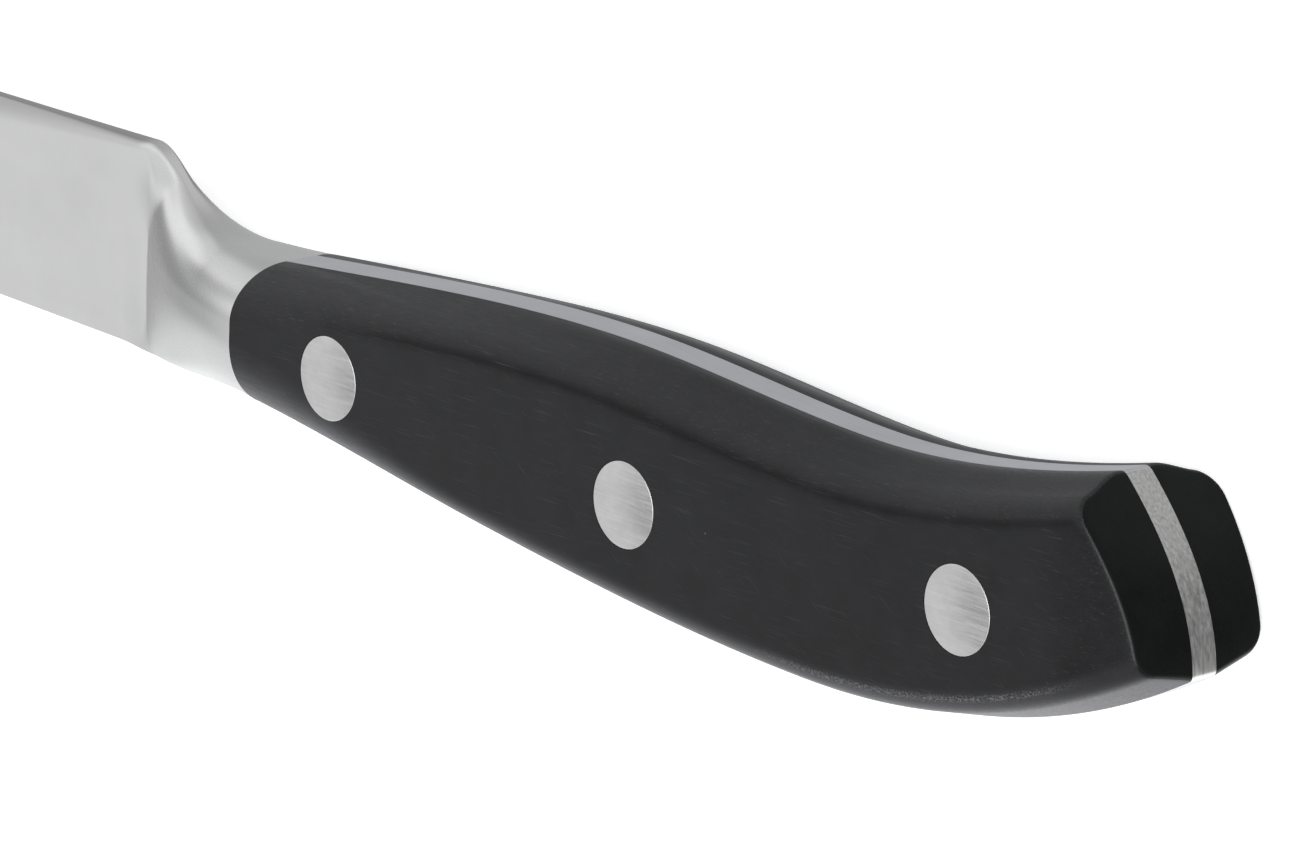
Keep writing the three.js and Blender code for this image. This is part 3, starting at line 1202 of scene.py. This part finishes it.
@dataclass
class ForgedBlade:
    """The blade, the bolster and the tang, ground from one drop forging."""

    form: KnifeForm
    blade_steps: int = 90
    heel_run: float = 8.0
    bolster_step: float = 0.2
    plunge_run: float = 3.5
    plunge_step: float = 0.05
    tang_steps: int = 180
    butt_steps: int = 40
    corner_steps: int = 6
    meet_rounds: int = 60
    sharp_degrees: float = 32.0
    butt_skin: float = 0.3
    # Painted shade along the spine: how deep it reaches, how much of that depth is left at the heel, and
    # where it fades out
    spine_shade_depth: float = 1.9
    spine_shade_heel_share: float = 0.4
    spine_shade_stop: tuple[float, float] = (-19.5, -17.0)

    def stations(self) -> np.ndarray:
        """Where the blade's and the bolster's cross-sections are taken, closest at the plunge line.

        Returns:
            Places along the knife, from the tip to the scales.
        """
        form = self.form
        heel = form.plunge_at - self.heel_run
        blade = np.linspace(form.tip_at, heel, self.blade_steps, endpoint=False)
        rising = np.arange(heel, form.cone_start, self.bolster_step)
        plunge = np.arange(form.cone_start, form.cone_start + self.plunge_run, self.plunge_step)
        flare = np.arange(form.cone_start + self.plunge_run, -self.plunge_step, self.bolster_step)
        return np.concatenate([blade, rising, plunge, flare, [0.0]])

    def steel_ring(self, x: float) -> np.ndarray:
        """The whole cross-section at x, the left side down and then the right side up."""
        left = self.form.steel_section(x)
        return np.vstack([left, left[::-1] * np.array([1.0, 1.0, -1.0])])

    def butt_corner(self, line: Profile) -> np.ndarray:
        """Finds where the tang's back or belly meets the butt's face.

        Args:
            line: The back's or the belly's height along the knife.

        Returns:
            The sharp corner as (x, y).
        """
        form = self.form
        x = form.handle_length - form.butt_rake
        for _ in range(self.meet_rounds):
            x = lerp(x, form.butt_face(line(x), form.tang_back / 2.0), 0.5)
        return np.array([x, line(x)])

    def tang_outline(self) -> np.ndarray:
        """The tang's side view behind the bolster.

        Returns:
            Rows of (x, y), along the back, round the butt and back along the belly.
        """
        form = self.form
        top, bottom = self.butt_corner(form.top_line), self.butt_corner(form.bottom_line)
        edge = form.butt_edge
        back_x = np.linspace(0.0, top[0] - edge, self.tang_steps)
        belly_x = np.linspace(bottom[0] - edge, 0.0, self.tang_steps)
        back = np.array([(x, form.top_line(x)) for x in back_x])
        belly = np.array([(x, form.bottom_line(x)) for x in belly_x])
        face_y = np.linspace(top[1] - edge, bottom[1] + edge, self.butt_steps)
        face = np.array([(form.butt_face(y, form.tang_back / 2.0), y) for y in face_y])
        return np.vstack(
            [
                back,
                blend_curve(back[-1], top, face[0], self.corner_steps)[1:-1],
                face,
                blend_curve(face[-1], bottom, belly[0], self.corner_steps)[1:-1],
                belly,
            ]
        )

    def mesh(self, placement: Placement) -> Object:
        """Builds the forging without its holes.

        Args:
            placement: Where the drawing lies in the frame.

        Returns:
            The blade and the bolster as one skin, joined to the tang's plate.
        """
        form = self.form
        rings = [self.steel_ring(x) for x in self.stations()]
        count = len(rings[0])
        faces = grid_faces(len(rings), count, closed=True)
        faces.append(tuple(reversed(range(count))))
        last = (len(rings) - 1) * count
        half_count = count // 2
        faces.append(tuple(range(last, last + half_count)))
        faces.append(tuple(range(last + half_count, last + count)))

        outline = self.tang_outline()
        length = len(outline)
        near = len(rings) * count
        far = near + length
        half = np.array([form.tang_half(x) for x in outline[:, 0]])
        plates = [np.column_stack([outline, side.value * half]) for side in Side]
        faces.append(tuple(range(near, near + length)))
        faces.append(tuple(range(far, far + length)))
        faces += [(near + i, near + i + 1, far + i + 1, far + i) for i in range(length - 1)]
        return new_piece("forged_steel", placement.to_frame(np.vstack([*rings, *plates])), faces)

    def zone(self, centre: np.ndarray, facing: float) -> SteelZone:
        """Which part of the forging a face belongs to.

        Args:
            centre: The face's middle in the drawing.
            facing: How much of +x the face's normal has.

        Returns:
            The part.
        """
        x, y, z = centre
        if x < self.form.plunge_at:
            return SteelZone.BLADE
        if x < 0.0:
            return SteelZone.BOLSTER
        at_butt = facing > FACING_BACK and x > self.form.butt_face(y, z) - self.butt_skin
        return SteelZone.TANG_END if at_butt else SteelZone.TANG

    def dress(self, piece: Object, placement: Placement, steels: dict[SteelZone, Material]) -> None:
        """Gives each part of the forging its finish and paints shade along the spine.

        Args:
            piece: The drilled forging.
            placement: Where the drawing lies in the frame.
            steels: The finish of each part.
        """
        form = self.form
        for zone in SteelZone:
            piece.data.materials.append(steels[zone])
        for face in piece.data.polygons:
            face.material_index = self.zone(placement.to_drawing(face.center), face.normal.x).value
        # Painted shade: deepest at the spine's top, shallower towards the heel, fading out at the plunge
        # line
        x, y, _ = placement.to_drawing(vertices(piece)).T
        depth = np.array([form.top_line(place_x) for place_x in x]) - y
        ahead = smoothstep(form.plunge_at - x, 0.0, form.crown_run)
        reach = self.spine_shade_depth * lerp(self.spine_shade_heel_share, 1.0, ahead)
        spine = 1.0 - smoothstep(depth / reach, 0.0, 1.0)
        paint(piece, PAINTED_SPINE_SHADE, spine * (1.0 - smoothstep(x, *self.spine_shade_stop)))

    def build(self, placement: Placement, cutter: Object, steels: dict[SteelZone, Material]) -> None:
        """Builds the forging, drills its tang and dresses it.

        Args:
            placement: Where the drawing lies in the frame.
            cutter: The shape of the rivet holes.
            steels: The finish of each part.
        """
        piece = self.mesh(placement)
        cut(piece, cutter)
        shade(piece, self.sharp_degrees)
        self.dress(piece, placement, steels)
        place(piece, "ground_steel", "forged_blade")


@dataclass
class GripScale:
    """A black grip scale on one side of the tang, drilled for the rivets."""

    form: KnifeForm
    side: Side
    table_steps: int = 260
    overrun: float = 6.0
    rows: int = 170
    edge_steps: int = 5
    cap_steps: int = 10
    sharp_degrees: float = 30.0
    butt_skin: float = 0.1

    # Painted shade: a line with less sheen below the crease along the back
    crease_shade_drop: float = 0.9
    crease_shade_width: float = 0.38
    crease_shade_start: tuple[float, float] = (4.0, 22.0)
    crease_shade_stop: tuple[float, float] = (-1.5, -0.3)

    # Wear on the corner above the belly and along the butt's edge
    chine_rise: float = 2.35
    chine_width: float = 0.22
    chine_reach: float = 1.5
    chine_start: tuple[float, float] = (56.0, 66.0)
    chine_stop: tuple[float, float] = (84.0, 92.0)
    edge_wear: float = 0.1
    edge_run: tuple[float, float] = (-0.7, -0.1)
    edge_stop: float = -0.04

    def build(self, placement: Placement, cutter: Object, plastics: dict[PlasticZone, Material]) -> None:
        """Builds the scale, drills it and dresses it.

        Args:
            placement: Where the drawing lies in the frame.
            cutter: The shape of the rivet holes.
            plastics: The finish of the side and of the butt.
        """
        piece = self.mesh(placement)
        cut(piece, cutter)
        shade(piece, self.sharp_degrees)
        self.dress(piece, placement, plastics)
        place(piece, "black_plastic", f"{self.side.name.lower()}_scale")

    def mesh(self, placement: Placement) -> Object:
        """Builds the scale without its holes.

        Args:
            placement: Where the drawing lies in the frame.

        Returns:
            The scale, closed at the bolster and along the tang.
        """
        grid = self.surface()
        rows, lines, _ = grid.shape
        faces = grid_faces(rows, lines, closed=False)
        faces.append(tuple(range(lines)))
        start = (rows - 1) * lines
        inner = [i * lines for i in range(rows)]
        inner += list(range(start + 1, start + lines))
        inner += [i * lines + lines - 1 for i in reversed(range(rows - 1))]
        faces.append(tuple(inner))
        points = placement.to_frame(grid.reshape(-1, 3))
        return new_piece(f"{self.side.name.lower()}_grip_scale", points, faces)

    def dress(self, piece: Object, placement: Placement, plastics: dict[PlasticZone, Material]) -> None:
        """Gives the side and the butt their finishes and paints what is worn and the shade below the crease.

        Args:
            piece: The drilled scale.
            placement: Where the drawing lies in the frame.
            plastics: The finish of the side and of the butt.
        """
        form = self.form
        for zone in PlasticZone:
            piece.data.materials.append(plastics[zone])
        for face in piece.data.polygons:
            x, y, z = placement.to_drawing(face.center)
            at_butt = face.normal.x > FACING_BACK and x > form.butt_face(y, z) - self.butt_skin
            face.material_index = (PlasticZone.BUTT if at_butt else PlasticZone.SIDE).value
        x, y, z = placement.to_drawing(vertices(piece)).T
        past_butt = x - np.array([form.butt_face(*spot) for spot in zip(y, z)])

        chine = np.array([form.bottom_line(place_x) for place_x in x]) + self.chine_rise
        rubbed = np.exp(-(((y - chine) / self.chine_width) ** 2))
        rubbed *= np.abs(z) > form.handle_half - self.chine_reach
        rubbed *= smoothstep(x, *self.chine_start) * (1.0 - smoothstep(x, *self.chine_stop))
        edge = smoothstep(past_butt, *self.edge_run) * (past_butt < self.edge_stop) * self.edge_wear
        paint(piece, WORN, np.maximum(rubbed, edge))

        # Painted shade along a line below the crease
        slope = math.tan(math.radians(form.bevel_degrees))
        crease = np.array([form.top_line(place_x) - form.handle_side(place_x) * slope for place_x in x])
        crease_shade_mask = np.exp(-(((y - crease + self.crease_shade_drop) / self.crease_shade_width) ** 2))
        crease_shade_mask *= smoothstep(x, *self.crease_shade_start) * (1.0 - smoothstep(past_butt, *self.crease_shade_stop))
        paint(piece, PAINTED_CREASE_SHADE, crease_shade_mask)

    def surface(self) -> np.ndarray:
        """The scale's outside, from the bolster to the butt and over its face to the tang.

        Returns:
            A grid of points: rows along the knife, lines round the section and (x, y, z).
        """
        form = self.form
        front = form.glue_line
        table_x = np.linspace(front, form.handle_length + self.overrun, self.table_steps)
        table = np.array([form.scale_section(x) for x in table_x])
        lines = table.shape[1]

        def on_line(j: int, x: float) -> np.ndarray:
            """The point of line j at x."""
            y, z = (np.interp(x, table_x, table[:, j, axis]) for axis in (1, 2))
            return np.array([x, y, z])

        ends = [self.butt_crossing(table_x, table[:, j]) for j in range(lines)]
        corner = np.array([on_line(j, ends[j]) for j in range(lines)])
        share = np.linspace(0.0, 1.0, self.rows)
        stops = [end - form.butt_edge for end in ends]
        side = np.array([[on_line(j, lerp(front, stops[j], s)) for j in range(lines)] for s in share])
        rim = self.inset(corner)
        edge = [blend_curve(side[-1, j], corner[j], rim[j], self.edge_steps)[1:] for j in range(lines)]
        edge = np.swapaxes(np.array(edge), 0, 1)
        seam_y = np.linspace(rim[0, 1], rim[-1, 1], lines)
        seam = np.array([self.on_butt(y, rim[0, 2]) for y in seam_y])
        seam[0], seam[-1] = rim[0], rim[-1]
        cap = []
        for step in range(1, self.cap_steps + 1):
            flat = lerp(rim, seam, step / self.cap_steps)
            flat[:, 0] = [form.butt_face(y, z) for _, y, z in flat]
            flat[0], flat[-1] = rim[0], rim[-1]
            cap.append(flat)
        cap[-1] = seam
        grid = np.vstack([side, edge, np.array(cap)])
        grid[:, :, 2] *= self.side.value
        return grid

    def on_butt(self, y: float, z: float) -> np.ndarray:
        """The point of the butt's face where the scale meets the tang's glue line.

        Args:
            y: Height of the point.
            z: Distance from the mid-plane, for the face's dome.

        Returns:
            The point.
        """
        form = self.form
        x = form.butt_face(y, z)
        inner = form.tang_half(x) + form.glue_line
        return np.array([x, y, inner])

    def butt_crossing(self, x: np.ndarray, line: np.ndarray) -> float:
        """Where a line of the side meets the butt's face.

        Args:
            x: Places along the knife.
            line: The line's points at these places.

        Returns:
            The place between two points where the line passes the face.
        """
        past = x - np.array([self.form.butt_face(y, z) for _, y, z in line])
        i = int(np.argmax(past > 0.0))
        return lerp(x[i - 1], x[i], -past[i - 1] / (past[i] - past[i - 1]))

    def inset(self, corner: np.ndarray) -> np.ndarray:
        """The butt's outline drawn in on its face by the width of the rounded edge.

        Args:
            corner: The sharp outline, from the tang over the side to the tang.

        Returns:
            The drawn-in outline.
        """
        form = self.form
        flat = corner[:, 1:]
        along = np.gradient(flat, axis=0)
        inward = np.column_stack([-along[:, 1], along[:, 0]])
        inward /= np.linalg.norm(inward, axis=1)[:, None]
        middle = flat.mean(axis=0)
        if np.sum((middle - flat) * inward) < 0.0:
            inward = -inward
        drawn = flat + inward * form.butt_edge
        drawn[0] = flat[0] - np.array([form.butt_edge, 0.0])
        drawn[-1] = flat[-1] + np.array([form.butt_edge, 0.0])
        rim = np.array([[form.butt_face(y, z), y, z] for y, z in drawn])
        for end in (0, -1):
            rim[end, 2] = form.tang_half(rim[end, 0]) + form.glue_line
        return rim


# Studio


@dataclass(frozen=True)
class SkyPatch:
    """A soft-edged panel in the sky, with its angles in degrees and its azimuth from +x towards +y."""

    azimuth: float
    elevation: float
    width: float
    height: float
    radiance: float
    softness: float = 0.35

    def over(self, tree: NodeTree, towards: NodeSocket, sky: NodeSocket | float) -> NodeSocket:
        """Lays the panel over the sky.

        Args:
            tree: The world's node tree.
            towards: The direction that is looked in.
            sky: The radiance without the panel.

        Returns:
            The radiance with the panel.
        """
        turn, lift = math.radians(self.azimuth), math.radians(self.elevation)
        axis = Vector((math.cos(turn) * math.cos(lift), math.sin(turn) * math.cos(lift), math.sin(lift)))
        across = Vector((-math.sin(turn), math.cos(turn), 0.0))
        upward = axis.cross(across)
        half_width, half_height = (math.sin(math.radians(size / 2.0)) for size in (self.width, self.height))
        parts = [
            add_node(tree, "ShaderNodeVectorMath", {0: towards, 1: direction}, operation="DOT_PRODUCT")
            for direction in (across / half_width, upward / half_height, axis)
        ]
        right, up, front = (part.outputs["Value"] for part in parts)
        spot = add_node(tree, "ShaderNodeCombineXYZ", {0: right, 1: up}).outputs["Vector"]
        squared = add_node(tree, "ShaderNodeVectorMath", {0: spot, 1: spot}, operation="MULTIPLY")
        radius = add_node(
            tree, "ShaderNodeVectorMath", {0: squared.outputs["Vector"]}, operation="LENGTH"
        ).outputs["Value"]
        inside = add_node(
            tree,
            "ShaderNodeMapRange",
            {
                "Value": radius,
                "From Min": (1.0 + self.softness) ** 2,
                "From Max": (1.0 - self.softness) ** 2,
            },
            interpolation_type="SMOOTHSTEP",
        ).outputs["Result"]
        ahead = add_node(tree, "ShaderNodeMath", {0: front, 1: 0.0}, operation="GREATER_THAN")
        share = add_node(
            tree, "ShaderNodeMath", {0: inside, 1: ahead.outputs["Value"]}, operation="MULTIPLY"
        ).outputs["Value"]
        return add_node(tree, "ShaderNodeMix", {0: share, 2: sky, 3: self.radiance}).outputs["Result"]


@dataclass
class Studio:
    """A pale floor, a sky of soft panels that lights the knife, and the camera."""

    # A sheet of opal acrylic lit from below: an even white on which shadows all but vanish
    floor_half: float = 3.0
    floor_colour: str = "#f2f2f1"
    floor_glow: float = 0.45
    floor_roughness: float = 0.9
    floor_specular: float = 0.1

    # The sky's radiance by the sine of the elevation, and the panels that the steel mirrors
    sky_colour: str = "#fbfcff"
    sky_stops: tuple[tuple[float, float], ...] = (
        (-1.0, 0.3),
        (-0.45, 0.34),
        (-0.1, 0.68),
        (0.3, 0.78),
        (0.6, 1.02),
        (0.8, 0.86),
        (1.0, 0.86),
    )
    sky_patches: tuple[SkyPatch, ...] = (
        SkyPatch(16.0, 42.0, 60.0, 48.0, 4.2, 0.3),  # over the butt, the key light
        SkyPatch(132.0, -40.0, 58.0, 36.0, 0.55),  # low, between the spine and the tip
        SkyPatch(178.0, -46.0, 64.0, 20.0, 0.56),  # low, past the tip
        SkyPatch(72.0, -38.0, 46.0, 40.0, 0.74),  # low, past the spine
        SkyPatch(284.0, -40.0, 56.0, 40.0, 2.6),  # low, past the edge, lights the belly
        SkyPatch(212.0, 52.0, 22.0, 16.0, 0.2),  # high, past the tip, darkens the sides
        SkyPatch(214.0, -14.0, 28.0, 70.0, 0.93, 0.3),  # upright, between the tip and the edge
        SkyPatch(232.0, -12.0, 32.0, 70.0, 1.45, 0.25),  # upright, beside the last one
        SkyPatch(142.0, -6.0, 42.0, 24.0, 0.86, 0.3),  # level, between the spine and the tip
        SkyPatch(150.0, 20.0, 54.0, 36.0, 1.2, 0.3),  # above the last one
        SkyPatch(177.0, 4.0, 40.0, 26.0, 0.32, 0.2),  # level, past the tip, darkens the bolster
    )

    # The camera, in the drawing's millimetres
    lens: float = 210.17
    sensor: float = 36.0
    clip_start: float = 10.0
    clip_end: float = 20000.0
    camera_at: tuple[float, float, float] = (427.74, 159.2, 351.26)
    camera_right: tuple[float, float, float] = (0.6627, 0.0371, -0.748)
    camera_up: tuple[float, float, float] = (-0.238, 0.9574, -0.1633)

    def build(self, placement: Placement) -> None:
        """Builds the floor, the sky and the camera.

        Args:
            placement: Where the drawing lies in the frame.
        """
        self.floor()
        self.sky()
        self.camera(placement)
        bpy.context.scene.view_settings.view_transform = "Standard"

    def floor(self) -> None:
        """Lays a pale, softly glowing floor under the knife."""
        half = self.floor_half
        points = [(-half, -half, 0.0), (half, -half, 0.0), (half, half, 0.0), (-half, half, 0.0)]
        made = bpy.data.meshes.new("floor")
        made.from_pydata(points, [], [(0, 1, 2, 3)])
        floor = bpy.data.objects.new("floor", made)
        bpy.context.scene.collection.objects.link(floor)
        material, _, shader = new_material("opal_acrylic_light_table")
        shader.inputs["Base Color"].default_value = linear(self.floor_colour)
        shader.inputs["Roughness"].default_value = self.floor_roughness
        shader.inputs["Specular IOR Level"].default_value = self.floor_specular
        shader.inputs["Emission Color"].default_value = linear(self.floor_colour)
        shader.inputs["Emission Strength"].default_value = self.floor_glow
        floor.data.materials.append(material)
        # Mirrors look past the floor, at the panels below the horizon
        floor.visible_glossy = False

    def sky(self) -> None:
        """Makes a plain sky, dim below the horizon and light above it, and lays the panels over it."""
        world = bpy.data.worlds.new("studio")
        world.use_nodes = True
        tree = world.node_tree
        towards = add_node(tree, "ShaderNodeTexCoord").outputs["Generated"]
        height = add_node(tree, "ShaderNodeSeparateXYZ", {"Vector": towards}).outputs["Z"]
        radiance = self.sky_stops[0][1]
        for (low, _), (high, value) in zip(self.sky_stops, self.sky_stops[1:]):
            share = add_node(
                tree,
                "ShaderNodeMapRange",
                {"Value": height, "From Min": low, "From Max": high},
                interpolation_type="SMOOTHSTEP",
            ).outputs["Result"]
            radiance = add_node(tree, "ShaderNodeMix", {0: share, 2: radiance, 3: value}).outputs["Result"]
        for patch in self.sky_patches:
            radiance = patch.over(tree, towards, radiance)
        background = tree.nodes["Background"]
        background.inputs["Color"].default_value = linear(self.sky_colour)
        tree.links.new(radiance, background.inputs["Strength"])
        bpy.context.scene.world = world

    def camera(self, placement: Placement) -> None:
        """Sets the camera at the photograph's angle.

        Args:
            placement: Where the drawing lies in the frame.
        """
        data = bpy.data.cameras.new("camera")
        data.lens = self.lens
        data.sensor_width = self.sensor
        data.clip_start = self.clip_start * MM
        data.clip_end = self.clip_end * MM
        camera = bpy.data.objects.new("camera", data)
        right = Vector(self.camera_right).normalized()
        up = Vector(self.camera_up)
        up = (up - right * up.dot(right)).normalized()
        turn = Matrix((right, up, right.cross(up))).transposed()
        where = Vector(placement.to_frame(np.array(self.camera_at)))
        camera.matrix_world = Matrix.Translation(where) @ turn.to_4x4()
        bpy.context.scene.collection.objects.link(camera)
        bpy.context.scene.camera = camera


@dataclass
class SteakKnife:
    """The whole knife: its form, its rivets' places and its pieces."""

    form: KnifeForm = field(default_factory=KnifeForm)
    rivet_front_at: float = 11.7
    rivet_front_pitch: float = 33.1
    rivet_rear_pitch: float = 34.1
    outer_rivet_height: float = 1.3

    @property
    def middle_rivet_at(self) -> float:
        """The middle rivet's place along the handle."""
        return self.rivet_front_at + self.rivet_front_pitch

    def rivets(self) -> list[Rivet]:
        """Places the rivets.

        Returns:
            The three rivets, from the bolster to the butt.
        """
        return [
            Rivet("front", self.rivet_front_at, self.outer_rivet_height, self.form),
            Rivet("middle", self.middle_rivet_at, 0.0, self.form),
            Rivet("rear", self.middle_rivet_at + self.rivet_rear_pitch, self.outer_rivet_height, self.form),
        ]

    def hole_cutter(self, placement: Placement) -> Object:
        """Builds the shape of all the rivet holes.

        Args:
            placement: Where the drawing lies in the frame.

        Returns:
            One object with a solid for each hole.
        """
        points, faces, start = [], [], 0
        for rivet in self.rivets():
            hole, hole_faces = turned(rivet.hole_outline(), rivet.x, rivet.y, rivet.sides)
            points.append(hole)
            faces += [tuple(start + corner for corner in face) for face in hole_faces]
            start += len(hole)
        return new_piece("rivet_holes", placement.to_frame(np.vstack(points)), faces)

    def build(self, placement: Placement) -> None:
        """Builds and dresses every piece.

        Args:
            placement: Where the drawing lies in the frame.
        """
        cutter = self.hole_cutter(placement)
        steels = {
            SteelZone.BLADE: BLADE_STEEL.material(),
            SteelZone.BOLSTER: BOLSTER_STEEL.material(),
            SteelZone.TANG: TANG_STEEL.material(),
            SteelZone.TANG_END: TANG_END_STEEL.material(),
        }
        ForgedBlade(self.form).build(placement, cutter, steels)
        plastics = {
            PlasticZone.SIDE: SANDED_ACETAL.material(),
            # The butt gets the darker copy, as painted shade
            PlasticZone.BUTT: SHADED_BUTT_ACETAL.material(),
        }
        for side in Side:
            GripScale(self.form, side).build(placement, cutter, plastics)
        rivet_steel = RIVET_STEEL.material()
        for rivet in self.rivets():
            rivet.build(placement, rivet_steel)
        bpy.data.objects.remove(cutter)


def main() -> None:
    """Builds the knife and the studio."""
    logging.basicConfig(level=logging.INFO, format="%(message)s")
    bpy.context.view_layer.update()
    log.info("the frame holds %d solids", len(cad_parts))
    knife = SteakKnife()
    placement = Placement.from_frame(knife.middle_rivet_at)
    knife.build(placement)
    Studio().build(placement)


if __name__ == "__main__":
    main()
